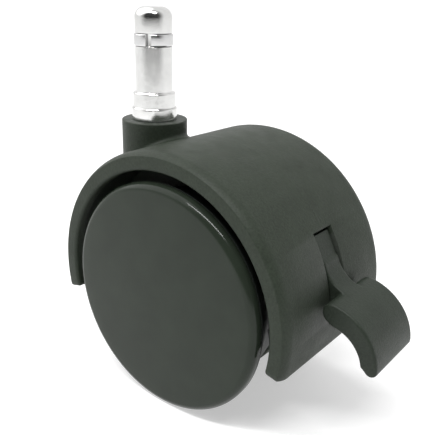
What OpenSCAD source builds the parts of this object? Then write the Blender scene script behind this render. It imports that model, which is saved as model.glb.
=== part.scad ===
// Twin-wheel chair caster with a hood, a grip-ring stem and a foot brake.
// Origin: on the stem's axis at the foot of its shank. +Z up, the wheels trail towards +X,
// the left wheel is at -Y. Dimensions in millimetres.

/* [Wheels] */
// Diameter of each wheel
wheel_d = 60; // [56:1:64]
// Distance from the stem's axis back to the axle
trail = 23.7; // [22:0.1:25]
// Half the distance between the wheels' inner faces
wheel_inner = 7.4; // [7.2:0.1:7.8]
// Distance from the middle plane to each wheel's outer face
wheel_outer = 24; // [23.6:0.1:24.4]
// Diameter of the axle
axle_d = 6; // [5:0.5:6.5]

/* [Hood] */
// Outer radius of the hood
hood_r = 37.5; // [37:0.1:38]
// Inner radius of the hood's lips, at both rims
lip_r = 32.8; // [32.4:0.1:33.2]
// Width of the hood over its two rims
hood_w = 45.6; // [45:0.2:46]
// Angle that the hood reaches below the axle, at the front and at the back
hood_drop = 13; // [10:0.5:14]
// Outer diameter of the collar round the stem
collar_d = 18; // [17:0.5:18.5]
// Height of the collar's top above the axle
collar_top = 39.1; // [38.5:0.1:40]
// Width of the web between the wheels
web_w = 12.7; // [12.3:0.1:13.1]
// Radius of the web where it shows between the wheels
web_r = 26.1; // [25:0.1:26.5]

/* [Stem] */
// Diameter of the shank
shank_d = 10; // [9.8:0.1:10.4]
// Length of the shank
shank_l = 22; // [21:0.5:23]
// Diameter of the flange that rests on the collar
flange_d = 12.4; // [12:0.1:13]
// Height of the flange
flange_h = 3.4; // [3:0.1:3.8]
// Diameter of the step above the flange
step_d = 11.6; // [11:0.1:11.8]
// Height of the step
step_h = 4; // [3.6:0.1:4.4]
// Diameter of the pin that turns inside the housing
pin_d = 8; // [7.6:0.1:8]

/* [Brake] */
// Width of the foot pad
pad_w = 19.2; // [17:0.2:21]
// Width of the lever's neck
neck_w = 6.8; // [6:0.2:7.2]
// Travel of the lever from released to locked, in degrees
brake_travel = 12; // [8:1:12]

/* [Hidden] */

$fn = 96;
eps = 0.01;               // overlap that joins cuts cleanly
run_gap = 0.03;           // radial clearance of a running fit
end_gap = 0.1;            // end play of turning pieces
far = 60;                 // longer than any cut needs
overlap = 1;              // reach of joined or cutting shapes into or past each other

// heights along the stem, from the foot of the shank
axle_z = -(collar_top + flange_h + step_h);
collar_z = axle_z + collar_top;

// housing
hood_in_r = hood_r - 3.1;             // inside of the wall between the lips
lip_w = 2.8;                          // width of each lip
rim_round = 1.6;                      // rounding of the rims' outer edge
lip_round = 1;                        // rounding of the rims' inner edge
web_back = 36;                        // angle where the web leaves the hood at the back
web_front = 184;                      // angle where it leaves the hood at the front
cheek_gap = 8.4;                      // width of the pocket that holds the brake lever
cheek_r = 3.8;                        // radius of the cheeks round the brake's pivot
core_count = 7;                       // coring pockets on each face of the web
core_start = 205;                     // angle of the first one
core_step = 24;
core_ring = 18.5;                     // radius of the circle they lie on
core_d = 6.6;
membrane = 3.6;                       // thickness left between opposite pockets
socket_floor = 13.5;                  // height of the socket's floor above the axle
slot_top = 33.4;                      // angle of the lever slot's upper end
slot_low = -1;                        // angle of its lower end
slot_w = neck_w + 1;
boss_room = 2.1;                      // room round the lever's boss
room_margin = 5;                      // angle that the pocket reaches past the slot's ends
room_bite = 0.2;                      // depth of the pocket in the hood's wall
shoe_room_top = 4;                    // angles of the room behind the web for the shoe
shoe_room_low = -40;
socket_gap = 0.3;                     // radial room round the stem's pin below its bush

// stem
groove_z = 12;                        // lower edge of the grip ring's groove
groove_h = 3.4;
groove_d = shank_d - 1.8;
head_round = 2.7;
ring_d = shank_d + 0.5;
ring_gap = 1.6;                       // split of the grip ring
ring_turn = 29;                       // direction that the split faces
pin_end = socket_floor + 1;           // height of the pin's end above the axle
snap_z = pin_end + 2.6;               // height of the snap ring above the axle
snap_h = 1;
snap_room = 0.3;                      // room round the snap ring
washer_gap = 0.2;                     // radial room inside the thrust washer
snap_d = pin_d + 0.9;
snap_groove_d = pin_d - 1.6;
washer_h = 0.6;
washer_d = 12;
bush_d = 10.4;
bush_low = snap_z + snap_h + 0.6;
bush_top = collar_top - washer_h;

// wheels
wheel_r = wheel_d / 2;
crown_r = wheel_r - 4.4;              // tread radius at the inner face
crown_mid = wheel_r - 2.6;            // tread radius where the crown grows steeper
crown_mid_y = 15.2;
crown_end_y = 20.6;                   // where it reaches the full radius
cover_h = 3;                          // height of the cover over the tread's edge
tread_w = wheel_outer - cover_h;      // distance from the middle plane to the tread's edge
rim_wall = 2.6;
wheel_web = 2.2;
hub_r = 7.5;
hub_out = 18;                         // distance from the middle plane to the hub's outer face
spoke_count = 8;
spoke_w = 1.8;
spoke_h = 8;
spoke_end = 2.4;                      // room between a spoke's end and the cover's lip
cover_wall = 1.8;
cover_round = 2;                      // rounding round the cover's face
cover_lip = 2.4;                      // depth of the lip that holds the cover in the rim
wheel_bush_d = axle_d + 3;
push_nut_d = 12;
push_nut_h = 1;
push_rim_h = 0.6;                     // thickness of its rim
axle_tip = 0.9;                       // length of the axle past each push nut
axle_l = 2 * (hub_out + end_gap + push_nut_h + axle_tip);
spacer_d = 13;
spacer_h = 0.5;
hub_in = web_w / 2 + spacer_h + end_gap;

// brake, in the plane of the wheel with the axle at [0, 0]
pivot = [27.5, 5];
pivot_d = 3;
boss_r = 4.1;
pad_c = [39.3, -5.6];                 // centre of the pad's outer curve
pad_r = 13.5;
pad_in_c = [40.2, -6.3];              // centre of its inner curve
pad_in_r = 8.6;
pad_tip = 3;                          // angle of the pad's tip
pad_nose = 83;                        // angle of the end beside the hood
nose_r = 2.5;
tip_r = 1.6;
neck_c = [42.7, 16.2];                // centre of the hollow between neck and pad
neck_hollow_r = 8.5;
neck_r = hood_r - 0.8;                // outer face of the neck, just below the hood's face
neck_in_r = hood_in_r - 0.8;
neck_low = 4;                         // angle of the neck's lower end
neck_gap = 0.8;                       // angle between the neck and the slot's upper end
arm = [[32.5, 15.5], [34.5, 14], [41.4, 8.2], [39.5, 3], [34, 0.8]];  // arm from neck to pad
shoe_gap = 0.15;                      // room between the applied shoe and the treads
shoe_t = 2.3;
shoe_bite = 3.4;                      // depth of the shoe's block below the treads' widest part
shoe_seat = 3.6;                      // depth of its seat in the lever
shoe_top = 2;                         // angle of the applied shoe's upper edge
shoe_low = -9;                        // angle of its lower edge
shoe_y = hood_w / 2 - lip_w - 0.6;    // half length of the shoe
spring_t = 0.5;
spring_w = 6;
spring_l = 11;
spring_x = pivot[0] - boss_r - 0.2;   // face of the spring beside the lever's boss

// places its children with the axle as origin
module at_axle() {
    translate([trail, 0, axle_z]) children();
}

// extrudes an outline in the wheel's plane to a width centred on the middle plane
module slab(width) {
    rotate([90, 0, 0]) linear_extrude(width, center = true) children();
}

// turns a section [radius, distance from the middle plane] round the axle, towards one side
module turned(side) {
    rotate([side < 0 ? 90 : -90, 0, 0]) rotate_extrude() children();
}

// outline of a sector of the wheel's plane, less than two thirds of a turn
module sector(radius, from, to) {
    step = (to - from) / 4;
    reach = radius * 1.05 / cos(step / 2);
    intersection() {
        circle(radius);
        polygon([[0, 0], for (i = [0 : 4]) reach * [cos(from + i * step), sin(from + i * step)]]);
    }
}

// section of the hood [radius, distance along the axle]: a wall with a thick lip at each rim
module hood_section() {
    half = hood_w / 2;
    translate([hood_in_r, -half + rim_round]) square([hood_r - hood_in_r, hood_w - 2 * rim_round]);
    for (side = [-1, 1])
        mirror([0, side < 0 ? 1 : 0]) lip_section(half);
}

// lip at one rim, rounded outside and inside
module lip_section(half) {
    translate([hood_r - rim_round, half - rim_round]) circle(rim_round);
    translate([lip_r + lip_round, half - lip_round]) circle(lip_round);
    translate([lip_r + lip_round, half - lip_w])
        square([hood_r - rim_round - lip_r - lip_round, lip_w]);
    translate([lip_r, half - lip_w]) square([lip_round + eps, lip_w - lip_round]);
}

// the arched band over the wheels
module hood_band() {
    rotate([90, 0, 0]) rotate([0, 0, -hood_drop])
        rotate_extrude(angle = 180 + 2 * hood_drop) hood_section();
}

// outline of the web between the wheels, which joins the hood at the top and the front
module web_outline() {
    circle(web_r);
    sector(hood_in_r + overlap, web_back, web_front);
    translate(pivot) circle(cheek_r);
    polygon([[0, 0], pivot + [0, -cheek_r], pivot + [cheek_r, 0],
             (hood_in_r + overlap) * [cos(web_back), sin(web_back)]]);
}

// blind round pockets that core out both faces of the web
module coring() {
    depth = (web_w - membrane) / 2;
    for (i = [0 : core_count - 1], side = [-1, 1])
        translate([core_ring * cos(core_start + i * core_step), side * (web_w / 2 - depth / 2 + eps),
                   core_ring * sin(core_start + i * core_step)])
            rotate([90, 0, 0]) cylinder(d = core_d, h = depth, center = true);
}

// pocket in the web for the lever's boss, and the slot in the hood for its neck
module lever_room() {
    slab(cheek_gap) {
        translate(pivot) circle(boss_r + boss_room);
        difference() {
            sector(hood_in_r + room_bite, slot_low - room_margin, slot_top + room_margin);
            circle(pivot[0] - boss_r);
        }
    }
    slab(slot_w) difference() {
        sector(hood_r + overlap, slot_low, slot_top);
        circle(hood_in_r - overlap);
    }
}

// grooves that hold the ends of the detent spring
module spring_seat() {
    translate([spring_x - spring_t / 2, 0, pivot[1]])
        cube([spring_t, spring_w, spring_l], center = true);
}

// clears the shoe's path behind the web's lower back edge
module shoe_room() {
    slab(web_w + 2 * overlap) difference() {
        sector(hood_in_r, shoe_room_low, shoe_room_top);
        circle(web_r);
    }
}

module housing() {
    color([0.14, 0.15, 0.14])
    at_axle()
    difference() {
        union() {
            hood_band();
            slab(web_w) web_outline();
            difference() {
                translate([-trail, 0, 0]) cylinder(d = collar_d, h = collar_top);
                for (side = [-1, 1])
                    translate([0, side * (web_w + far) / 2, 0]) slab(far) circle(hood_in_r);
                slab(web_w + overlap) circle(web_r);
            }
        }
        // stem socket
        translate([-trail, 0, socket_floor]) cylinder(d = pin_d + 2 * socket_gap, h = far);
        translate([-trail, 0, snap_z - snap_room])
            cylinder(d = snap_d + 2 * snap_room, h = bush_low - snap_z + snap_room + eps);
        translate([-trail, 0, bush_low]) cylinder(d = bush_d, h = far);
        translate([-trail, 0, bush_top]) cylinder(d = washer_d, h = far);
        // axle bore
        rotate([90, 0, 0]) cylinder(d = axle_d, h = far, center = true);
        coring();
        lever_room();
        shoe_room();
        spring_seat();
        // bore for the brake's pivot pin
        translate([pivot[0], 0, pivot[1]]) rotate([90, 0, 0])
            cylinder(d = pivot_d, h = far, center = true);
    }
}

module stem() {
    color([0.8, 0.8, 0.8])
    difference() {
        union() {
            cylinder(d = shank_d, h = shank_l - head_round);
            translate([0, 0, shank_l - head_round]) rotate_extrude() head_section();
            translate([0, 0, -step_h]) cylinder(d = step_d, h = step_h);
            translate([0, 0, collar_z]) cylinder(d = flange_d, h = flange_h);
            translate([0, 0, axle_z + pin_end]) cylinder(d = pin_d, h = collar_top - pin_end);
        }
        translate([0, 0, groove_z]) tube(shank_d + overlap, groove_d, groove_h);
        translate([0, 0, axle_z + snap_z]) tube(pin_d + overlap, snap_groove_d, snap_h + 2 * end_gap);
    }
}

// quarter-round edge and small flat top of the stem's head
module head_section() {
    square([shank_d / 2 - head_round, head_round]);
    intersection() {
        translate([shank_d / 2 - head_round, 0]) circle(head_round);
        square([shank_d / 2, head_round]);
    }
}

// plain tube standing on z = 0
module tube(outer_d, inner_d, height) {
    difference() {
        cylinder(d = outer_d, h = height);
        translate([0, 0, -overlap]) cylinder(d = inner_d, h = height + 2 * overlap);
    }
}

module grip_ring() {
    color([0.7, 0.7, 0.7])
    translate([0, 0, groove_z + end_gap])
    difference() {
        tube(ring_d, groove_d + end_gap, groove_h - 2 * end_gap);
        rotate([0, 0, ring_turn]) translate([0, -ring_d / 2, 0])
            cube([ring_gap, ring_d, far], center = true);
    }
}

module stem_snap_ring() {
    color([0.6, 0.6, 0.62])
    translate([0, 0, axle_z + snap_z + end_gap])
    difference() {
        tube(snap_d, snap_groove_d + end_gap, snap_h);
        translate([0, -snap_d / 2, 0]) cube([ring_gap, snap_d, far], center = true);
    }
}

module stem_bush() {
    color([0.85, 0.83, 0.76])
    translate([0, 0, axle_z + bush_low]) tube(bush_d, pin_d + 2 * run_gap, bush_top - bush_low);
}

module thrust_washer() {
    color([0.35, 0.35, 0.36])
    translate([0, 0, axle_z + bush_top]) tube(washer_d, pin_d + 2 * washer_gap, washer_h);
}

module axle() {
    color([0.72, 0.73, 0.75])
    at_axle() rotate([90, 0, 0]) cylinder(d = axle_d, h = axle_l, center = true);
}

// section of the wheel body: crowned rim, web and hub
module wheel_section() {
    difference() {
        polygon([[crown_r - rim_wall - overlap, wheel_inner], [crown_r, wheel_inner],
                 [crown_mid, crown_mid_y], [wheel_r, crown_end_y], [wheel_r, tread_w],
                 [crown_r - rim_wall - overlap, tread_w]]);
        polygon([[0, wheel_inner + wheel_web], [crown_r - rim_wall, wheel_inner + wheel_web],
                 [crown_mid - rim_wall, crown_mid_y], [wheel_r - rim_wall, tread_w - cover_lip],
                 [wheel_r - rim_wall, far], [0, far]]);
    }
    translate([hub_r - overlap, wheel_inner])
        square([crown_r - rim_wall - hub_r + 2 * overlap, wheel_web]);
    translate([wheel_bush_d / 2, hub_in]) square([hub_r - wheel_bush_d / 2, hub_out - hub_in]);
}

module wheel_body(side) {
    color([0.12, 0.13, 0.13])
    at_axle() {
        turned(side) wheel_section();
        for (i = [0 : spoke_count - 1])
            rotate([side < 0 ? 90 : -90, 0, 0])
                rotate([0, 0, (i + 0.5) * 360 / spoke_count])
                    translate([hub_r - overlap, -spoke_w / 2, wheel_inner + wheel_web - eps])
                        cube([wheel_r - rim_wall - spoke_end - hub_r + overlap, spoke_w, spoke_h]);
    }
}

// section of the cover: flat face, rounded edge and the lip inside the rim
module cover_section() {
    edge = wheel_r - cover_round;
    lip_in = wheel_r - rim_wall - cover_wall;
    translate([0, wheel_outer - cover_wall]) square([edge, cover_wall]);
    translate([lip_in, tread_w]) square([edge - lip_in, cover_h - cover_wall + eps]);
    translate([edge - eps, tread_w]) square([cover_round + eps, cover_h - cover_round + eps]);
    intersection() {
        translate([edge, wheel_outer - cover_round]) circle(cover_round);
        translate([edge - eps, wheel_outer - cover_round]) square(cover_round + overlap);
    }
    translate([lip_in, tread_w - cover_lip]) square([cover_wall, cover_lip + eps]);
}

module wheel_cover(side) {
    color([0.16, 0.18, 0.17])
    at_axle() turned(side) cover_section();
}

module wheel_bush(side) {
    color([0.85, 0.83, 0.76])
    at_axle() turned(side)
        translate([axle_d / 2 + run_gap, hub_in])
            square([wheel_bush_d / 2 - axle_d / 2 - run_gap, hub_out - hub_in]);
}

module spacer_washer(side) {
    color([0.75, 0.75, 0.76])
    at_axle() turned(side)
        translate([axle_d / 2 + end_gap, web_w / 2])
            square([(spacer_d - axle_d) / 2 - end_gap, spacer_h]);
}

// domed spring-steel cap nut pushed on the end of the axle
module push_nut(side) {
    color([0.5, 0.5, 0.52])
    at_axle() turned(side)
        translate([axle_d / 2, hub_out + end_gap]) {
            square([(push_nut_d - axle_d) / 2, push_rim_h]);
            square([(push_nut_d - axle_d) / 4, push_nut_h]);
        }
}

// outline of the foot pad: a curved band with a rounded end beside the hood
module pad_outline() {
    mid_r = (pad_r + pad_in_r) / 2;
    difference() {
        intersection() {
            translate(pad_c) circle(pad_r);
            translate(pad_c) polygon([[0, 0], [pad_r * 2, pad_r * 2 * sin(pad_tip)],
                [pad_r * 2, pad_r * 2], pad_r * 2 * [cos(pad_nose), sin(pad_nose)]]);
        }
        translate(pad_in_c) circle(pad_in_r);
    }
    translate(pad_c + mid_r * [cos(pad_nose), sin(pad_nose)]) circle(nose_r);
    translate(pad_c + (pad_r - tip_r) * [cos(pad_tip), sin(pad_tip)]) circle(tip_r);
}

// outline of the neck that fills the hood's slot, and the arm that joins it to boss and pad
module neck_outline() {
    difference() {
        sector(neck_r, neck_low, slot_top - neck_gap);
        circle(neck_in_r);
    }
    difference() {
        polygon([pivot, pivot + [0, boss_r], each arm, pivot - [0, boss_r]]);
        translate(neck_c) circle(neck_hollow_r);
    }
    translate(pivot) circle(boss_r);
}

// outline of the applied shoe, or of the bridge behind it
module shoe_outline(inner, outer) {
    difference() {
        sector(outer, shoe_low, shoe_top);
        circle(inner);
    }
}

// turns a brake piece drawn in the applied position back to the released one
module released() {
    translate([pivot[0], 0, pivot[1]]) rotate([0, -brake_travel, 0])
        translate([-pivot[0], 0, -pivot[1]]) children();
}

module brake_lever() {
    color([0.14, 0.15, 0.14])
    at_axle() {
        difference() {
            union() {
                slab(neck_w) neck_outline();
                slab(pad_w) pad_outline();
            }
            translate([pivot[0], 0, pivot[1]]) rotate([90, 0, 0])
                cylinder(d = pivot_d + 2 * run_gap, h = far, center = true);
            released() slab(2 * (shoe_y + overlap))
                shoe_outline(wheel_r - shoe_seat, wheel_r + shoe_gap + shoe_t);
        }
    }
}

module brake_shoe() {
    color([0.1, 0.1, 0.1])
    at_axle() released()
    difference() {
        slab(2 * shoe_y) shoe_outline(wheel_r - shoe_bite, wheel_r + shoe_gap + shoe_t);
        for (side = [-1, 1])
            turned(side) polygon([[0, 0], [crown_r + shoe_gap, 0], [crown_r + shoe_gap, wheel_inner],
                [crown_mid + shoe_gap, crown_mid_y], [wheel_r + shoe_gap, crown_end_y],
                [wheel_r + shoe_gap, far], [0, far]]);
    }
}

module brake_pivot_pin() {
    color([0.7, 0.71, 0.73])
    at_axle() translate([pivot[0], 0, pivot[1]]) rotate([90, 0, 0])
        cylinder(d = pivot_d, h = web_w, center = true);
}

// leaf that holds the lever in either position
module detent_spring() {
    color([0.6, 0.62, 0.65])
    at_axle() spring_seat();
}

housing();
stem();
grip_ring();
stem_snap_ring();
stem_bush();
thrust_washer();
axle();
wheel_body(-1);  // left_wheel_body
wheel_body(1);  // right_wheel_body
wheel_cover(-1);  // left_wheel_cover
wheel_cover(1);  // right_wheel_cover
wheel_bush(-1);  // left_wheel_bush
wheel_bush(1);  // right_wheel_bush
spacer_washer(-1);  // left_spacer_washer
spacer_washer(1);  // right_spacer_washer
push_nut(-1);  // left_push_nut
push_nut(1);  // right_push_nut
brake_lever();
brake_shoe();
brake_pivot_pin();
detent_spring();
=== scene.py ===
"""Looks of a hooded twin-wheel chair caster.

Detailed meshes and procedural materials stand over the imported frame.

Shapes are written in millimetres, with the axle's centre as origin [x back, y along the axle, z up],
unless a helper says otherwise.
"""
import math

import bmesh
import bpy
from mathutils import Matrix, Vector

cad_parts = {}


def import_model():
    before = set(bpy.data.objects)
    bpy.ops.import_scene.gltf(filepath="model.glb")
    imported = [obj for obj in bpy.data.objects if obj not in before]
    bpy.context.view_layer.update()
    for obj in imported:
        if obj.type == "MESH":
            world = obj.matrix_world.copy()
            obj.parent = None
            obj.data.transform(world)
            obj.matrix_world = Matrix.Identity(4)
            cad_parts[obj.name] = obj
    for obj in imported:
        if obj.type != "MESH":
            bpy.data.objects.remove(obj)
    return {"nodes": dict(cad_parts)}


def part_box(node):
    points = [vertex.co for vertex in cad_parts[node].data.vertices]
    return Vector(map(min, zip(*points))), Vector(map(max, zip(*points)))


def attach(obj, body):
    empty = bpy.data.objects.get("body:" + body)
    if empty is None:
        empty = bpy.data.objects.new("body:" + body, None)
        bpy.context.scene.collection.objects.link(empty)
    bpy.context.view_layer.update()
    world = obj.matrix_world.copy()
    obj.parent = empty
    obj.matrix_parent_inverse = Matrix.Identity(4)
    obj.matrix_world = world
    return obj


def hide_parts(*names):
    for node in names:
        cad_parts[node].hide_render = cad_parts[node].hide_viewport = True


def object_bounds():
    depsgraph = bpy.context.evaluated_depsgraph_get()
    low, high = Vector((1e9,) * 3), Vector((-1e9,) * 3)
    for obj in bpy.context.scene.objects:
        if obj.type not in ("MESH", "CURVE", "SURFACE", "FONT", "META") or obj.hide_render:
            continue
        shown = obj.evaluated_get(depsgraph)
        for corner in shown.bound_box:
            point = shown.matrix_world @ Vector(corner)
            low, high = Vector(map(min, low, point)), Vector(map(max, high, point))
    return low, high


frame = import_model()
cad_low, cad_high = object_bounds()

MM = 0.001
NODES = frame["nodes"]


def box_mm(node):
    """Lowest and highest corner of a CAD node in millimetres, in the row frame."""
    low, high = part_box(node)
    return low / MM, high / MM


# ---------------------------------------------------------------- sizes taken from the frame
hood_high = box_mm("housing")[1]
axle_low, axle_high = box_mm("axle")
wheel_low, wheel_high = box_mm("left_wheel_body")
cover_low, cover_high = box_mm("left_wheel_cover")
stem_low, stem_high = box_mm("stem")
ring_low, ring_high = box_mm("grip_ring")
bush_low, bush_high = box_mm("stem_bush")
washer_low, washer_high = box_mm("thrust_washer")
snap_low, snap_high = box_mm("stem_snap_ring")
pin_low, pin_high = box_mm("brake_pivot_pin")
spacer_high = box_mm("left_spacer_washer")[1]
hub_low, hub_high = box_mm("left_wheel_bush")
lever_high = box_mm("brake_lever")[1]

AXLE = (axle_low + axle_high) / 2
ORIGIN = Vector((0, 0, 0))
AXLE_R = (axle_high.x - axle_low.x) / 2
TRAIL = AXLE.x
HOOD_R = hood_high.x - AXLE.x
HOOD_HALF = hood_high.y
COLLAR_TOP = hood_high.z - AXLE.z
COLLAR_R = 9.0
WHEEL_R = (wheel_high.z - wheel_low.z) / 2
WHEEL_FACE = -cover_low.y
SEAM = -wheel_low.y                # plane where the cover meets the tread
LIP_DEPTH = -cover_high.y          # plane of the cover's inner lip
HUB_IN = -hub_high.y
HUB_OUT = -hub_low.y
HUB_BORE = (hub_high.z - hub_low.z) / 2
WEB_HALF = -spacer_high.y
PIVOT = (pin_low + pin_high) / 2 - AXLE
PIVOT_R = (pin_high.x - pin_low.x) / 2
PAD_HALF = lever_high.y
FLANGE_R = stem_high.x
STEM_TOP = stem_high.z
PIN_END = stem_low.z
FLANGE_FOOT = hood_high.z
SHANK_R = 5.0
STEP_R = 5.8
STEP_H = 4.0

WALL = 3.1                         # thickness of the hood between its lips
LIP_T = 4.7                        # thickness of the lips
LIP_W = 2.8
SHOULDER_W = 2.9                   # width over which the hood's face falls towards a rim
SHOULDER_DROP = 1.1
HOOD_DROP = 13.0                   # degrees that the hood reaches below the axle
WEB_R = 26.1
WHEEL_IN = 7.4                     # inner face of the wheels' rims
WHEEL_WEB = 2.2                    # thickness of the wheel's web
HUB_R = 7.5
RIM_WALL = 2.6                     # thickness of the wheel's rim
CROWN_R = WHEEL_R - 4.4            # tread radius at the inner face
CROWN_MID_Y = 15.2                 # where the tread grows steeper
CROWN_END_Y = 20.6                 # where the tread reaches its full radius
SLOT_HALF = 3.9
SLOT_TOP = 33.4
SLOT_LOW = -1.0
BRAKE_TRAVEL = 12.0
POCKET_HALF = 4.2                  # half width of the brake's pocket in the web
SHOE_HALF = 12.0                   # half width of the cutters for the shoe and the pin


# ---------------------------------------------------------------- outlines
def polar(r, degrees, centre=(0, 0)):
    a = math.radians(degrees)
    return (centre[0] + r * math.cos(a), centre[1] + r * math.sin(a))


def arc(centre, r, a0, a1, step=4):
    """Points on a circle from angle a0 to a1 in degrees, both ends included."""
    n = max(2, math.ceil(abs(a1 - a0) / step))
    return [polar(r, a0 + (a1 - a0) * i / n, centre) for i in range(n + 1)]


def rounded(corners, step=12, closed=True):
    """Outline through corners (x, y, radius), each rounded to its radius."""
    out = []
    count = len(corners)
    for i, (x, y, r) in enumerate(corners):
        here = Vector((x, y))
        if r <= 0 or (not closed and i in (0, count - 1)):
            out.append((x, y))
            continue
        before = (Vector(corners[i - 1][:2]) - here).normalized()
        after = (Vector(corners[(i + 1) % count][:2]) - here).normalized()
        half = before.angle(after) / 2
        centre = here + (before + after).normalized() * (r / math.sin(half))
        cut = r / math.tan(half)
        first = here + before * cut - centre
        last = here + after * cut - centre
        a0 = math.atan2(first.y, first.x)
        turn = (math.atan2(last.y, last.x) - a0 + math.pi) % (2 * math.pi) - math.pi
        n = max(2, round(abs(math.degrees(turn)) / step))
        out += [(centre.x + r * math.cos(a0 + turn * k / n), centre.y + r * math.sin(a0 + turn * k / n))
                for k in range(n + 1)]
    return out


def signed_area(loop):
    return sum(loop[i - 1][0] * p[1] - p[0] * loop[i - 1][1] for i, p in enumerate(loop)) / 2


def inset(loop, depth):
    """Anticlockwise outline moved inwards by depth along each point's own normal."""
    out = []
    count = len(loop)
    for i, (x, y) in enumerate(loop):
        along = (Vector(loop[(i + 1) % count]) - Vector(loop[i - 1])).normalized()
        out.append((x - along.y * depth, y + along.x * depth))
    return out


def edge_layers(edge, rings=3):
    """(distance from the end, inset) of the rings that round an end's edge."""
    if edge <= 0:
        return [(0, 0)]
    turns = [math.radians(90 * k / rings) for k in range(rings + 1)]
    return [(edge * (1 - math.sin(t)), edge * (1 - math.cos(t))) for t in reversed(turns)]


# ---------------------------------------------------------------- meshes
def make(name, verts, faces, at):
    """Mesh object from points in millimetres moved by `at`, its normals pointing outwards."""
    mesh = bpy.data.meshes.new(name)
    mesh.from_pydata([(Vector(v) + at) * MM for v in verts], [], faces)
    bm = bmesh.new()
    bm.from_mesh(mesh)
    bmesh.ops.recalc_face_normals(bm, faces=bm.faces)
    bm.to_mesh(mesh)
    bm.free()
    obj = bpy.data.objects.new(name, mesh)
    bpy.context.scene.collection.objects.link(obj)
    return obj


def axle_wise(side):
    """Maps a lathe's point to the row axes with its height along the axle, towards one side."""
    return lambda x, y, h: (x, side * h, y)


def upright(x, y, h):
    return (x, y, h)


def lathe(name, profile, place, at, steps=144, closed=True, start=0.0, sweep=360.0):
    """Turns a profile of (radius, height) points round the axis.

    A closed profile makes a ring. An open one starts and ends on the axis.
    A sweep under 360 degrees makes a split ring with flat ends."""
    full = sweep >= 360
    columns = steps if full else steps + 1
    verts, index = [], []
    for c in range(columns):
        a = math.radians(start + sweep * c / steps)
        row = []
        for i, (r, h) in enumerate(profile):
            if r < 1e-6 and c > 0:
                row.append(index[0][i])
                continue
            row.append(len(verts))
            verts.append(place(r * math.cos(a), r * math.sin(a), h))
        index.append(row)
    faces = []
    n = len(profile)
    for c in range(steps):
        a, b = index[c], index[(c + 1) % columns]
        for i in range(n if closed else n - 1):
            j = (i + 1) % n
            quad = list(dict.fromkeys((a[i], b[i], b[j], a[j])))
            if len(quad) > 2:
                faces.append(quad)
    if not full:
        faces += [index[0][::-1], index[-1]]
    return make(name, verts, faces, at)


def prism(name, outline, half_width, edge=0.0, at=None):
    """Outline in the wheel's plane, extruded evenly about the middle plane, its edges rounded by `edge`."""
    if signed_area(outline) < 0:
        outline = outline[::-1]
    layers = [(-half_width + far, depth) for far, depth in edge_layers(edge)]
    layers += [(-y, depth) for y, depth in reversed(layers)]
    verts = [(x, y, z) for y, depth in layers for x, z in (inset(outline, depth) if depth else outline)]
    n = len(outline)
    faces = [list(range(n)), list(range(len(verts) - n, len(verts)))]
    for k in range(len(layers) - 1):
        a, b = k * n, (k + 1) * n
        faces += [(a + i, a + (i + 1) % n, b + (i + 1) % n, b + i) for i in range(n)]
    return make(name, verts, faces, AXLE if at is None else at)


def peg(name, centre, r, half_width, steps=48):
    """Cylinder across the wheel's plane, for cutting."""
    return prism(name, arc(centre, r, 0, 360 * (1 - 1 / steps), 360 / steps), half_width)


def post(name, r, z0, z1, at, steps=72):
    """Upright cylinder, for cutting."""
    return lathe(name, [(0, z0), (r, z0), (r, z1), (0, z1)], upright, at, steps, closed=False)


def combine(obj, others, operation):
    """Boolean of obj with the others, which are used up."""
    for other in others:
        modifier = obj.modifiers.new("boolean", "BOOLEAN")
        modifier.operation = operation
        modifier.solver = "MANIFOLD"
        modifier.object = other
    apply_modifiers(obj)
    for other in others:
        bpy.data.objects.remove(other)
    return obj


def apply_modifiers(obj):
    graph = bpy.context.evaluated_depsgraph_get()
    mesh = bpy.data.meshes.new_from_object(obj.evaluated_get(graph))
    old = obj.data
    obj.modifiers.clear()
    obj.data = mesh
    bpy.data.meshes.remove(old)
    mesh.name = obj.name


def smooth(obj, angle=32):
    """Smooth shading with edges sharper than the angle kept crisp."""
    obj.data.shade_smooth()
    obj.data.set_sharp_from_angle(angle=math.radians(angle))
    return obj


# ---------------------------------------------------------------- housing
def hood_section():
    """Closed section (radius, distance along the axle) of the hood: wall, lips and a fine mould line.

    Towards each rim the outer face bends down to a crisp edge."""
    r, half = HOOD_R, HOOD_HALF
    wall, lip = r - WALL, r - LIP_T
    line = 0.3
    bend = 2 * math.atan(SHOULDER_DROP / SHOULDER_W)
    curve = SHOULDER_W / math.sin(bend)
    rim = [(r - curve * (1 - math.cos(bend * k / 6)), half - SHOULDER_W + curve * math.sin(bend * k / 6), 0)
           for k in range(6)] + [(r - SHOULDER_DROP, half, 0.35)]
    near = [(x, -y, round_r) for x, y, round_r in reversed(rim)]
    return rounded(
        near + [(r, -SLOT_HALF, 0), (r, -2 * line, 0), (r, -line, 0), (r + 0.02, 0, 0), (r, line, 0),
                (r, 2 * line, 0), (r, SLOT_HALF, 0)] + rim
        + [(lip, half, 0.9), (lip, half - LIP_W, 0.4), (wall, half - LIP_W, 0.8), (wall, SLOT_HALF, 0),
           (wall, -SLOT_HALF, 0), (wall, LIP_W - half, 0.8), (lip, LIP_W - half, 0.4), (lip, -half, 0.9)])


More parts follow.
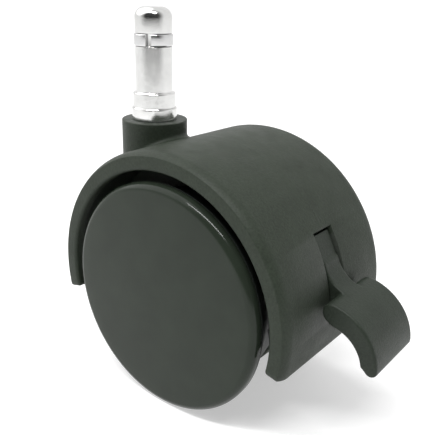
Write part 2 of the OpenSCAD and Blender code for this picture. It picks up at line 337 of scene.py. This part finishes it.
def hood_band():
    """The arched band, with its slot for the brake lever and rounded ends."""
    section = hood_section()
    if signed_area(section) < 0:
        section = section[::-1]
    n = len(section)
    low, high = -HOOD_DROP, 180 + HOOD_DROP
    mid_r = HOOD_R - WALL / 2
    ends = [(math.degrees(far / mid_r), depth) for far, depth in edge_layers(0.9, 4)]
    turns = [(low + a, d) for a, d in ends]
    marks = [low + ends[-1][0], SLOT_LOW, SLOT_TOP, high - ends[-1][0]]
    for a0, a1 in zip(marks, marks[1:]):
        count = max(1, round((a1 - a0) / 1.6))
        turns += [(a0 + (a1 - a0) * k / count, 0) for k in range(1, count + 1)]
    turns += [(high - a, d) for a, d in reversed(ends[:-1])]
    verts = []
    for angle, depth in turns:
        for r, y in (inset(section, depth) if depth else section):
            x, z = polar(r, angle)
            verts.append((x, y, z))
    in_slot = [abs(section[i][1]) <= SLOT_HALF + 1e-6 and abs(section[(i + 1) % n][1]) <= SLOT_HALF + 1e-6
               for i in range(n)]
    faces = [list(range(n)), list(range(len(verts) - n, len(verts)))]
    for k in range(len(turns) - 1):
        middle = (turns[k][0] + turns[k + 1][0]) / 2
        for i in range(n):
            j = (i + 1) % n
            if not (in_slot[i] and SLOT_LOW < middle < SLOT_TOP):
                faces.append((k * n + i, k * n + j, (k + 1) * n + j, (k + 1) * n + i))
    # walls of the slot
    rims = [i for i in range(n) if abs(abs(section[i][1]) - SLOT_HALF) < 1e-6]
    first = min(range(len(turns)), key=lambda k: abs(turns[k][0] - SLOT_LOW))
    last = min(range(len(turns)), key=lambda k: abs(turns[k][0] - SLOT_TOP))
    for side in (-1, 1):
        a, b = [i for i in rims if section[i][1] * side > 0]
        for k in range(first, last):
            faces.append((k * n + a, (k + 1) * n + a, (k + 1) * n + b, k * n + b))
    inside = [i for i in range(n) if abs(section[i][1]) <= SLOT_HALF + 1e-6]
    for k in (first, last):
        faces.append([k * n + i for i in inside])
    band = make("hood_band", verts, faces, AXLE)
    round_slot(band)
    return band


def round_slot(band):
    """Rounds the slot's outer edge."""
    bm = bmesh.new()
    bm.from_mesh(band.data)
    picked = []
    for e in bm.edges:
        points = [v.co / MM - AXLE for v in e.verts]
        outer = all(math.hypot(p.x, p.z) > HOOD_R - 0.05 for p in points)
        sharp = len(e.link_faces) == 2 and e.calc_face_angle(0) > math.radians(50)
        if outer and sharp and all(abs(p.y) < SLOT_HALF + 0.05 for p in points):
            picked.append(e)
    bmesh.ops.bevel(bm, geom=picked, offset=0.3 * MM, segments=2, profile=0.5, affect="EDGES")
    bm.to_mesh(band.data)
    bm.free()


def collar():
    """Collar round the stem, with a fillet where it runs into the hood and a foot inside the hood's wall."""
    fillet = 1.1
    foot_r = HOOD_R - 1.3
    steps = 96
    rows = []
    top = [(0, COLLAR_TOP)] + rounded([(0, COLLAR_TOP, 0), (COLLAR_R, COLLAR_TOP, 0.25), (COLLAR_R, 30, 0)],
                                      step=18, closed=False)[1:-1]
    for c in range(steps):
        a = 2 * math.pi * c / steps
        outward = Vector((math.cos(a), math.sin(a), 0))
        axis = Vector((-TRAIL, 0, 0))
        rim = [axis + outward * r + Vector((0, 0, z)) for r, z in top]
        centre = axis + outward * (COLLAR_R + fillet)
        centre.z = math.sqrt((HOOD_R + fillet) ** 2 - centre.x ** 2)
        down = Vector((-centre.x, 0, -centre.z)).normalized()
        fall = [rim[-1].lerp(centre - outward * fillet, t / 5) for t in range(1, 6)]
        bend = (-outward).angle(down)
        turned = [
            centre + fillet * (-outward * math.sin(bend * (1 - t)) + down * math.sin(bend * t)) / math.sin(bend)
            for t in (0.16, 0.32, 0.48, 0.64, 0.8, 0.93)]
        sunk = []
        reach = turned[-1].xy - axis.xy
        for share in (1, 0.66, 0.33):
            x = -TRAIL + reach.x * share
            sunk.append(Vector((x, reach.y * share, math.sqrt(foot_r ** 2 - x * x))))
        column = rim + fall + turned + sunk
        column.append(Vector((-TRAIL, 0, math.sqrt(foot_r ** 2 - TRAIL ** 2))))
        rows.append(column)
    count = len(rows[0])
    verts = [rows[0][0], rows[0][-1]] + [p for column in rows for p in column[1:-1]]
    inner = count - 2

    def at(c, i):
        if i == 0:
            return 0
        return 1 if i == count - 1 else 2 + (c % steps) * inner + i - 1

    faces = []
    for c in range(steps):
        for i in range(count - 1):
            faces.append(list(dict.fromkeys((at(c, i), at(c + 1, i), at(c + 1, i + 1), at(c, i + 1)))))
    return make("collar", verts, faces, AXLE)


def web():
    """Web between the wheels: a disc below, joined to the hood at the top and the front."""
    joint_r = HOOD_R - WALL / 2
    cheek_r = 3.8
    back, front = 36, 184
    outline = arc((0, 0), joint_r, back, front)
    corner = [(*polar(joint_r, front), 0), (*polar(WEB_R, front), 1.8), (*polar(WEB_R, front + 8), 0)]
    outline += rounded(corner, closed=False)[1:-1]
    outline += arc((0, 0), WEB_R, front + 9, 357)
    outline += arc(PIVOT.xz, cheek_r, -70, 25, 8)
    return prism("web", outline, WEB_HALF, edge=0.4)


def lever_room():
    """Cutters for the brake's pocket in the web and for the shoe's path."""
    wall = HOOD_R - WALL
    pocket = prism("pocket", arc(PIVOT.xz, 6.2, 0, 352, 8), POCKET_HALF)
    way = prism("way", arc((0, 0), wall + 0.1, -8, 38) + arc((0, 0), PIVOT.x - 4.1, 38, -8), POCKET_HALF)
    shoe_way = prism("shoe_way", arc((0, 0), wall, -40, 4) + arc((0, 0), WEB_R, 4, -40), WEB_HALF + 1)
    return [pocket, way, shoe_way]


def housing():
    body = hood_band()
    combine(body, [collar(), web()], "UNION")
    socket = ORIGIN
    cutters = [
        post("bore_low", 4.3, AXLE.z + 13.5, hood_high.z + 1, socket),
        post("bore_snap", snap_high.x + 0.3, snap_low.z - 0.4, bush_low.z + 0.01, socket),
        post("bore_bush", bush_high.x, bush_low.z, hood_high.z + 1, socket),
        post("bore_washer", washer_high.x, washer_low.z, hood_high.z + 1, socket),
        peg("bore_axle", (0, 0), AXLE_R, HOOD_HALF),
        peg("bore_pin", PIVOT.xz, PIVOT_R, HOOD_HALF)]
    cutters += lever_room()
    combine(body, cutters, "DIFFERENCE")
    pockets = []
    depth, core_r, ring_r = 4.55, 3.3, 18.5
    for i in range(7):
        centre = polar(ring_r, 205 + 24 * i)
        for side in (-1, 1):
            pocket = peg(f"core_{i}_{side}", centre, core_r, depth / 2)
            pocket.data.transform(Matrix.Translation((0, side * (WEB_HALF - depth / 2 + 0.01) * MM, 0)))
            pockets.append(pocket)
    combine(body, pockets, "DIFFERENCE")
    body.name = "hood_housing"
    return smooth(body)


# ---------------------------------------------------------------- wheels
def cover(side):
    """Smooth domed disc with a rounded edge and a lip that snaps inside the rim."""
    round_r = 2.0
    dome = 0.12
    edge = WHEEL_R - round_r
    radius = (edge ** 2 + dome ** 2) / (2 * dome)
    face = []
    for k in range(11):
        r = edge * k / 10
        face.append((r, WHEEL_FACE - radius + math.sqrt(radius ** 2 - r * r)))
    lean = math.degrees(math.asin(edge / radius))
    shoulder = arc((edge - round_r * math.sin(math.radians(lean)) * 0.5, WHEEL_FACE - dome - round_r),
                   round_r, 90 - lean, 0, 9)
    shift = WHEEL_R - shoulder[-1][0]
    shoulder = [(r + shift * k / (len(shoulder) - 1), h) for k, (r, h) in enumerate(shoulder)]
    inside = WHEEL_FACE - 1.8
    lip_out, lip_in = WHEEL_R - RIM_WALL, WHEEL_R - 4.4
    back = rounded([(WHEEL_R, SEAM + 0.6, 0), (WHEEL_R, SEAM, 0.2), (lip_out, SEAM, 0),
                    (lip_out, LIP_DEPTH, 0.4), (lip_in, LIP_DEPTH, 0.4), (lip_in, inside, 1.0),
                    (0, inside, 0)], step=22, closed=False)
    profile = face[:-1] + shoulder + back[1:]
    return smooth(lathe("cover", profile, axle_wise(side), AXLE, 192, closed=False), 40)


def tread_profile():
    """Closed section of the wheel body: conical tread that widens to its running edge, web and hub."""
    middle = WHEEL_R - RIM_WALL
    web_out = WHEEL_IN + WHEEL_WEB
    running = WHEEL_R - 0.05
    return rounded([
        (CROWN_R, WHEEL_IN, 0.5), (middle, CROWN_MID_Y, 12), (running, CROWN_END_Y, 0.3), (running, SEAM, 0.1),
        (middle, SEAM, 0.1), (middle, LIP_DEPTH - 0.1, 0.3), (middle - RIM_WALL, CROWN_MID_Y, 8),
        (CROWN_R - RIM_WALL, web_out, 0.8), (HUB_R, web_out, 0.8), (HUB_R, HUB_OUT, 0.3),
        (HUB_BORE, HUB_OUT, 0.2), (HUB_BORE, HUB_IN, 0.2), (HUB_R, HUB_IN, 0.2), (HUB_R, WHEEL_IN, 0)], step=15)


def wheel(side):
    body = lathe("wheel", tread_profile(), axle_wise(side), AXLE, 192)
    spokes = []
    web_out = WHEEL_IN + WHEEL_WEB
    root, tip, half = 6.9, WHEEL_R - 5.6, 0.9
    for i in range(8):
        spoke = prism(f"spoke_{i}", [(root, -half), (tip, -half), (tip, half), (root, half)], 4.0, at=ORIGIN)
        turn = Matrix.Rotation(math.radians(-45 * (i + 0.5)), 4, "Y")
        spoke.data.transform(Matrix.Translation(Vector((AXLE.x, side * (web_out + 3.8), AXLE.z)) * MM) @ turn)
        spokes.append(spoke)
    combine(body, spokes, "UNION")
    return smooth(body)


# ---------------------------------------------------------------- stem
def stem():
    groove_low, groove_high = ring_low.z - 0.1, ring_high.z + 0.1
    groove_r = SHANK_R - 0.9
    snap_groove = snap_low.z - 0.1
    pin_r, neck_r = 4.0, 3.2
    profile = rounded([
        (0, STEM_TOP, 0), (SHANK_R, STEM_TOP, 2.7), (SHANK_R, groove_high, 0.12), (groove_r, groove_high, 0.1),
        (groove_r, groove_low, 0.1), (SHANK_R, groove_low, 0.12), (SHANK_R, 0, 0.35), (STEP_R, 0, 0.4),
        (STEP_R, -STEP_H, 0.25), (FLANGE_R, -STEP_H, 0.45), (FLANGE_R, FLANGE_FOOT, 0.35),
        (pin_r, FLANGE_FOOT, 0.2), (pin_r, snap_groove + 1.2, 0.1), (neck_r, snap_groove + 1.2, 0.1),
        (neck_r, snap_groove, 0.1), (pin_r, snap_groove, 0.1), (pin_r, PIN_END, 0.6), (0, PIN_END, 0)],
        step=9, closed=False)
    return smooth(lathe("stem_turned", profile, upright, ORIGIN, 128, closed=False), 25)


def split_ring(name, inner, outer, z0, z1, gap, facing, edge):
    """Split spring ring whose gap, in millimetres, faces the given direction in degrees from -Y."""
    profile = rounded([(inner, z0, edge * 0.4), (outer, z0, edge), (outer, z1, edge), (inner, z1, edge * 0.4)])
    half = math.degrees(gap / 2 / outer)
    ring = lathe(name, profile, upright, ORIGIN, 120, start=facing - 90 + half, sweep=360 - 2 * half)
    return smooth(ring, 40)


# ---------------------------------------------------------------- brake lever
def pad_outline():
    centre, outer = (39.3, -5.6), 13.5
    in_centre, inner = (40.2, -6.3), 8.6
    nose_r, tip_r = 2.5, 1.6
    tip, nose = 3, 83
    nose_c = polar((outer + inner) / 2, nose, centre)
    tip_c = polar(outer - tip_r, tip, centre)
    outline = arc(centre, outer, tip, nose + 1, 5)
    outline += arc(nose_c, nose_r, nose + 20, nose + 165, 12)
    outline += arc(in_centre, inner, 84, 9, 6)
    outline += arc(tip_c, tip_r, -150, -20, 15)
    return outline


def neck_outline():
    face, back = HOOD_R - 0.8, HOOD_R - WALL - 0.8
    hollow = (42.7, 16.2)
    outline = arc((0, 0), face, SLOT_TOP - 0.8, 23.2, 2)
    outline += arc(hollow, 8.5, 197, 262, 6)
    outline += [(41.2, 5.0), (39.6, 3.0), (34.0, 0.8)]
    outline += arc(PIVOT.xz, 4.1, -75, -270, 10)
    outline += [(30.6, 13.8)]
    outline += arc((0, 0), back, 27, SLOT_TOP - 0.8, 2)
    return outline


def brake_lever():
    """Neck, arm and foot pad in one moulding, its edges and joins softened as moulded nylon is."""
    lever = prism("lever", neck_outline(), 3.4, edge=0.3)
    combine(lever, [prism("pad", pad_outline(), PAD_HALF, edge=0.5)], "UNION")
    remesh = lever.modifiers.new("remesh", "REMESH")
    remesh.mode = "VOXEL"
    remesh.voxel_size = 0.2 * MM
    soften = lever.modifiers.new("soften", "SMOOTH")
    soften.factor = 0.5
    soften.iterations = 8
    thin = lever.modifiers.new("thin", "DECIMATE")
    thin.ratio = 0.35
    apply_modifiers(lever)
    shoe = shoe_outline(WHEEL_R - 3.6, WHEEL_R + 2.45)
    bore = peg("pin_bore", PIVOT.xz, PIVOT_R + 0.03, SHOE_HALF)
    combine(lever, [prism("shoe_seat", shoe, SHOE_HALF), bore], "DIFFERENCE")
    return smooth(lever, 45)


def shoe_outline(inner, outer):
    """Sector of the applied shoe, turned back to the released position about the pivot."""
    outline = arc((0, 0), outer, -9, 2, 2) + arc((0, 0), inner, 2, -9, 2)
    turn = math.radians(BRAKE_TRAVEL)
    out = []
    for x, z in outline:
        dx, dz = x - PIVOT.x, z - PIVOT.z
        out.append((PIVOT.x + dx * math.cos(turn) - dz * math.sin(turn),
                    PIVOT.z + dx * math.sin(turn) + dz * math.cos(turn)))
    return out


# ---------------------------------------------------------------- materials
def new_material(name, **sockets):
    material = bpy.data.materials.new(name)
    material.use_nodes = True
    shader = material.node_tree.nodes["Principled BSDF"]
    for key, value in sockets.items():
        shader.inputs[key.replace("_", " ")].default_value = value
    return material, material.node_tree, shader


def node(tree, kind, **values):
    """Adds a node; values are its properties, or its input sockets by name."""
    made = tree.nodes.new(kind)
    for key, value in values.items():
        name = key.replace("_", " ")
        if name in made.inputs:
            made.inputs[name].default_value = value
        else:
            setattr(made, key, value)
    return made


def noise(tree, place, scale, detail=3.0, roughness=0.55):
    made = node(tree, "ShaderNodeTexNoise", Scale=scale, Detail=detail, Roughness=roughness)
    tree.links.new(place, made.inputs["Vector"])
    return made.outputs["Fac"]


def ramp(tree, source, stops):
    made = tree.nodes.new("ShaderNodeValToRGB")
    elements = made.color_ramp.elements
    while len(elements) < len(stops):
        elements.new(0.5)
    for element, (position, colour) in zip(elements, stops):
        element.position = position
        element.color = colour
    tree.links.new(source, made.inputs["Fac"])
    return made.outputs["Color"]


def grey(value):
    return (value, value, value, 1)


def tint(colour, factor):
    return (*[min(1.0, c * factor) for c in colour], 1)


def span(tree, source, low, high, from_low=0.3, from_high=0.7):
    made = node(tree, "ShaderNodeMapRange", From_Min=from_low, From_Max=from_high, To_Min=low, To_Max=high)
    tree.links.new(source, made.inputs["Value"])
    return made.outputs["Result"]


def bump(tree, shader, height, strength, distance, under=None):
    made = node(tree, "ShaderNodeBump", Strength=strength, Distance=distance)
    tree.links.new(height, made.inputs["Height"])
    if under is not None:
        tree.links.new(under, made.inputs["Normal"])
    tree.links.new(made.outputs["Normal"], shader.inputs["Normal"])
    return made.outputs["Normal"]


def nylon(name, colour, rough, shine, grain=0.0, wear_and_highlight=0.15):
    """Moulded nylon: faint flow mottling, edges made paler partly as wear and partly as a painted highlight
    along crests, and a spark-eroded grain where asked for.
    """
    material, tree, shader = new_material(name, Specular_IOR_Level=shine)
    place = tree.nodes.new("ShaderNodeTexCoord").outputs["Object"]
    pits = noise(tree, place, 1900, 4, 0.62)
    mottle = noise(tree, place, 110, 4)
    both = node(tree, "ShaderNodeMath", operation="ADD")
    tree.links.new(span(tree, mottle, -0.5, 0.5), both.inputs[0])
    tree.links.new(span(tree, pits, -0.9 * grain, 0.9 * grain), both.inputs[1])
    body = ramp(tree, span(tree, both.outputs[0], 0, 1, -1, 1),
                [(0, tint(colour, 0.78)), (1, tint(colour, 1.22))])
    # Paler edges from pointiness: partly rubbed wear, partly a painted highlight standing in for the light
    # caught along crests.
    edges = tree.nodes.new("ShaderNodeNewGeometry").outputs["Pointiness"]
    rubbed_and_highlit = ramp(tree, edges, [(0.515, grey(0)), (0.58, grey(wear_and_highlight))])
    patchy_edge_paling = node(tree, "ShaderNodeMath", operation="MULTIPLY")
    tree.links.new(rubbed_and_highlit, patchy_edge_paling.inputs[0])
    tree.links.new(noise(tree, place, 420, 5, 0.7), patchy_edge_paling.inputs[1])
    mix = node(tree, "ShaderNodeMix", data_type="RGBA")
    tree.links.new(patchy_edge_paling.outputs[0], mix.inputs[0])
    tree.links.new(body, mix.inputs[6])
    mix.inputs[7].default_value = tint([max(c, 0.04) for c in colour], 3.2)
    tree.links.new(mix.outputs[2], shader.inputs["Base Color"])
    tree.links.new(span(tree, noise(tree, place, 240, 3), rough - 0.04, rough + 0.04),
                   shader.inputs["Roughness"])
    bump(tree, shader, pits, 0.08 + 0.6 * grain, 0.00012)
    return material


def tread_nylon(name, colour):
    """Wheel nylon with fine running scuffs round the tread."""
    material, tree, shader = new_material(name, Specular_IOR_Level=0.2)
    place = tree.nodes.new("ShaderNodeTexCoord").outputs["Object"]
    mottle = noise(tree, place, 120, 4)
    scuffs = noise(tree, place, 900, 6, 0.75)
    body = ramp(tree, mottle, [(0.3, tint(colour, 0.85)), (0.7, tint(colour, 1.2))])
    dust = ramp(tree, scuffs, [(0.55, grey(0)), (0.75, grey(0.22))])
    mix = node(tree, "ShaderNodeMix", data_type="RGBA")
    tree.links.new(dust, mix.inputs[0])
    tree.links.new(body, mix.inputs[6])
    mix.inputs[7].default_value = (0.06, 0.059, 0.056, 1)
    tree.links.new(mix.outputs[2], shader.inputs["Base Color"])
    tree.links.new(span(tree, scuffs, 0.42, 0.62), shader.inputs["Roughness"])
    bump(tree, shader, scuffs, 0.25, 0.00008)
    return material


def turned_metal(name, colour, rough, rings, depth):
    """Turned and plated steel: fine tool rings along its axis, smudged gloss."""
    material, tree, shader = new_material(name, Metallic=1.0)
    place = tree.nodes.new("ShaderNodeTexCoord").outputs["Object"]
    cloud = noise(tree, place, 300, 4)
    tree.links.new(ramp(tree, cloud, [(0.3, tint(colour, 0.93)), (0.7, tint(colour, 1.04))]),
                   shader.inputs["Base Color"])
    tree.links.new(span(tree, noise(tree, place, 500, 5, 0.65), rough - 0.05, rough + 0.09),
                   shader.inputs["Roughness"])
    lines = node(tree, "ShaderNodeTexWave", Scale=rings, Distortion=0.6, Detail=2.0, bands_direction="Z")
    tree.links.new(place, lines.inputs["Vector"])
    bump(tree, shader, lines.outputs["Fac"], depth, 0.00002)
    return material


def plain_metal(name, colour, rough):
    """Stamped or drawn steel with a cloudy satin surface."""
    material, tree, shader = new_material(name, Metallic=1.0)
    place = tree.nodes.new("ShaderNodeTexCoord").outputs["Object"]
    cloud = noise(tree, place, 600, 5, 0.6)
    tree.links.new(ramp(tree, cloud, [(0.3, tint(colour, 0.85)), (0.7, tint(colour, 1.05))]),
                   shader.inputs["Base Color"])
    tree.links.new(span(tree, cloud, rough - 0.06, rough + 0.08), shader.inputs["Roughness"])
    bump(tree, shader, noise(tree, place, 2500, 3), 0.15, 0.00003)
    return material


def acetal(name, colour):
    material, tree, shader = new_material(name, Roughness=0.38, Subsurface_Weight=0.05)
    place = tree.nodes.new("ShaderNodeTexCoord").outputs["Object"]
    cloud = noise(tree, place, 200, 3)
    tree.links.new(ramp(tree, cloud, [(0.3, tint(colour, 0.94)), (0.7, tint(colour, 1.04))]),
                   shader.inputs["Base Color"])
    bump(tree, shader, noise(tree, place, 1500, 3), 0.1, 0.00003)
    return material


def rubber(name, colour):
    material, tree, shader = new_material(name, Specular_IOR_Level=0.3)
    place = tree.nodes.new("ShaderNodeTexCoord").outputs["Object"]
    fine = noise(tree, place, 2200, 4, 0.7)
    tree.links.new(ramp(tree, fine, [(0.3, tint(colour, 0.8)), (0.7, tint(colour, 1.3))]),
                   shader.inputs["Base Color"])
    tree.links.new(span(tree, fine, 0.7, 0.9), shader.inputs["Roughness"])
    bump(tree, shader, fine, 0.4, 0.00006)
    return material


def floor_material():
    """White studio sheet, lit a little through from below so that shadows stay pale."""
    material, tree, shader = new_material("floor", Roughness=0.85, Specular_IOR_Level=0.2,
                                          Emission_Strength=0.45)
    shader.inputs["Emission Color"].default_value = grey(1.0)
    place = tree.nodes.new("ShaderNodeTexCoord").outputs["Object"]
    tree.links.new(ramp(tree, noise(tree, place, 6, 3), [(0.3, grey(0.60)), (0.7, grey(0.63))]),
                   shader.inputs["Base Color"])
    return material


# The hood's strong edge paling paints the bright highlight along the crests of its rims.
HOOD_NYLON = nylon("hood_nylon", (0.022, 0.029, 0.020), 0.48, 0.19, grain=1.2, wear_and_highlight=0.5)
COVER_NYLON = nylon("cover_nylon", (0.018, 0.024, 0.017), 0.15, 0.18, wear_and_highlight=0.1)
LEVER_NYLON = nylon("lever_nylon", (0.020, 0.026, 0.019), 0.42, 0.19, grain=0.9, wear_and_highlight=0)
WHEEL_NYLON = tread_nylon("wheel_nylon", (0.016, 0.019, 0.017))
PLATED = turned_metal("plated_steel", (0.70, 0.70, 0.69), 0.12, 1400, 0.10)
RING_STEEL = turned_metal("ring_steel", (0.62, 0.62, 0.62), 0.14, 900, 0.05)
SPRING_STEEL = plain_metal("spring_steel", (0.42, 0.42, 0.43), 0.35)
WASHER_STEEL = plain_metal("washer_steel", (0.62, 0.62, 0.63), 0.32)
AXLE_STEEL = plain_metal("axle_steel", (0.66, 0.67, 0.69), 0.22)
ACETAL = acetal("acetal", (0.82, 0.8, 0.73))
SHOE_RUBBER = rubber("shoe_rubber", (0.02, 0.02, 0.02))


# ---------------------------------------------------------------- assembly
def finish_piece(obj, name, material, slot, body, *stands_for):
    obj.name = name
    obj.data.name = name
    obj.data.materials.clear()
    obj.data.materials.append(material)
    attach(obj, body)
    if stands_for:
        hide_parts(*stands_for)
    return obj


def dress(names, material, edge=0.0):
    """Gives carried-over CAD nodes their material, and a small rounding where it would show."""
    for name in names:
        obj = NODES[name]
        obj.data.materials.clear()
        obj.data.materials.append(material)
        if edge:
            bevel = obj.modifiers.new("edge", "BEVEL")
            bevel.width = edge * MM
            bevel.segments = 2
            bevel.limit_method = "ANGLE"
            bevel.angle_limit = math.radians(40)
            bevel.harden_normals = False


finish_piece(housing(), "housing_shell", HOOD_NYLON, "housing_nylon", "housing", "housing")
for label, direction in (("left", -1), ("right", 1)):
    finish_piece(wheel(direction), f"{label}_wheel_moulding", WHEEL_NYLON, "wheel_nylon", f"{label}_wheel",
                 f"{label}_wheel_body")
    finish_piece(cover(direction), f"{label}_cover_disc", COVER_NYLON, "cover_nylon", f"{label}_wheel",
                 f"{label}_wheel_cover")
finish_piece(stem(), "stem_shaft", PLATED, "plated_steel", "stem", "stem")
finish_piece(split_ring("ring", ring_high.x - 0.9, ring_high.x, ring_low.z, ring_high.z, 1.6, 29, 0.5),
             "grip_ring_spring", RING_STEEL, "ring_steel", "stem", "grip_ring")
finish_piece(split_ring("snap", 3.25, snap_high.x, snap_low.z, snap_high.z, 1.6, 0, 0.35),
             "snap_ring_spring", SPRING_STEEL, "spring_steel", "stem", "stem_snap_ring")
finish_piece(brake_lever(), "brake_lever_moulding", LEVER_NYLON, "lever_nylon", "brake", "brake_lever")

dress(["stem_bush", "left_wheel_bush", "right_wheel_bush"], ACETAL)
dress(["thrust_washer", "left_spacer_washer", "right_spacer_washer"], WASHER_STEEL)
dress(["axle", "brake_pivot_pin"], AXLE_STEEL, edge=0.3)
dress(["left_push_nut", "right_push_nut", "detent_spring"], SPRING_STEEL)
dress(["brake_shoe"], SHOE_RUBBER, edge=0.25)


# ---------------------------------------------------------------- stage
FLOOR_Z = cad_low[2]
DOORWAY = (0.56, -0.78, 0.28)      # towards the dark part of the room
EYE = Vector((95.42, -119.57, 73.27))  # camera from the axle's centre, in millimetres


def floor():
    mesh = bpy.data.meshes.new("floor")
    size = 3.0
    corners = [(-size, -size, FLOOR_Z), (size, -size, FLOOR_Z), (size, size, FLOOR_Z), (-size, size, FLOOR_Z)]
    mesh.from_pydata(corners, [], [(0, 1, 2, 3)])
    obj = bpy.data.objects.new("floor", mesh)
    bpy.context.scene.collection.objects.link(obj)
    mesh.materials.append(floor_material())


def lamp(name, kind, place, power, **values):
    """Light aimed at the middle of the caster."""
    data = bpy.data.lights.new(name, kind)
    data.energy = power
    for key, value in values.items():
        setattr(data, key, value)
    obj = bpy.data.objects.new(name, data)
    bpy.context.scene.collection.objects.link(obj)
    obj.location = place
    obj.rotation_euler = (AXLE * MM - Vector(place)).to_track_quat("-Z", "Y").to_euler()


def world():
    """White room with a dark doorway in front, at the brake lever's side, before a plain white backdrop."""
    made = bpy.data.worlds.new("studio")
    made.use_nodes = True
    bpy.context.scene.world = made
    tree = made.node_tree
    direction = tree.nodes.new("ShaderNodeTexCoord").outputs["Generated"]
    facing = node(tree, "ShaderNodeVectorMath", operation="DOT_PRODUCT")
    tree.links.new(direction, facing.inputs[0])
    facing.inputs[1].default_value = DOORWAY
    shade = ramp(tree, facing.outputs["Value"], [(0.25, grey(1.0)), (0.75, grey(0.05))])
    background = tree.nodes["Background"]
    tree.links.new(shade, background.inputs["Color"])
    backdrop = node(tree, "ShaderNodeBackground", Color=grey(1.0), Strength=1.1)
    choice = tree.nodes.new("ShaderNodeMixShader")
    tree.links.new(tree.nodes.new("ShaderNodeLightPath").outputs["Is Camera Ray"], choice.inputs[0])
    tree.links.new(background.outputs[0], choice.inputs[1])
    tree.links.new(backdrop.outputs[0], choice.inputs[2])
    tree.links.new(choice.outputs[0], tree.nodes["World Output"].inputs["Surface"])


def camera():
    """Camera above the near wheel, turned towards the brake's side, with a slight roll."""
    azimuth, elevation, roll = (math.radians(a) for a in (38.53, 20.64, 1.47))
    back = Vector((math.sin(azimuth) * math.cos(elevation), -math.cos(azimuth) * math.cos(elevation),
                   math.sin(elevation)))
    right = Vector((math.cos(azimuth), math.sin(azimuth), 0))
    up = back.cross(right)
    across = right * math.cos(roll) + up * math.sin(roll)
    over = up * math.cos(roll) - right * math.sin(roll)
    lens = bpy.data.cameras.new("camera")
    lens.sensor_width = 36
    lens.lens = 49.86
    lens.clip_start = 0.01
    obj = bpy.data.objects.new("camera", lens)
    bpy.context.scene.collection.objects.link(obj)
    turn = Matrix((across, over, back)).transposed().to_4x4()
    obj.matrix_world = Matrix.Translation((AXLE + EYE) * MM) @ turn
    bpy.context.scene.camera = obj


floor()
world()
camera()
lamp("skylight", "SUN", (-0.7, -0.35, 0.9), 1.5, angle=math.radians(75))
lamp("strip", "AREA", (0.13, -0.24, 0.50), 3.2, shape="RECTANGLE", size=0.5, size_y=0.045)
bpy.context.scene.view_settings.view_transform = "Standard"
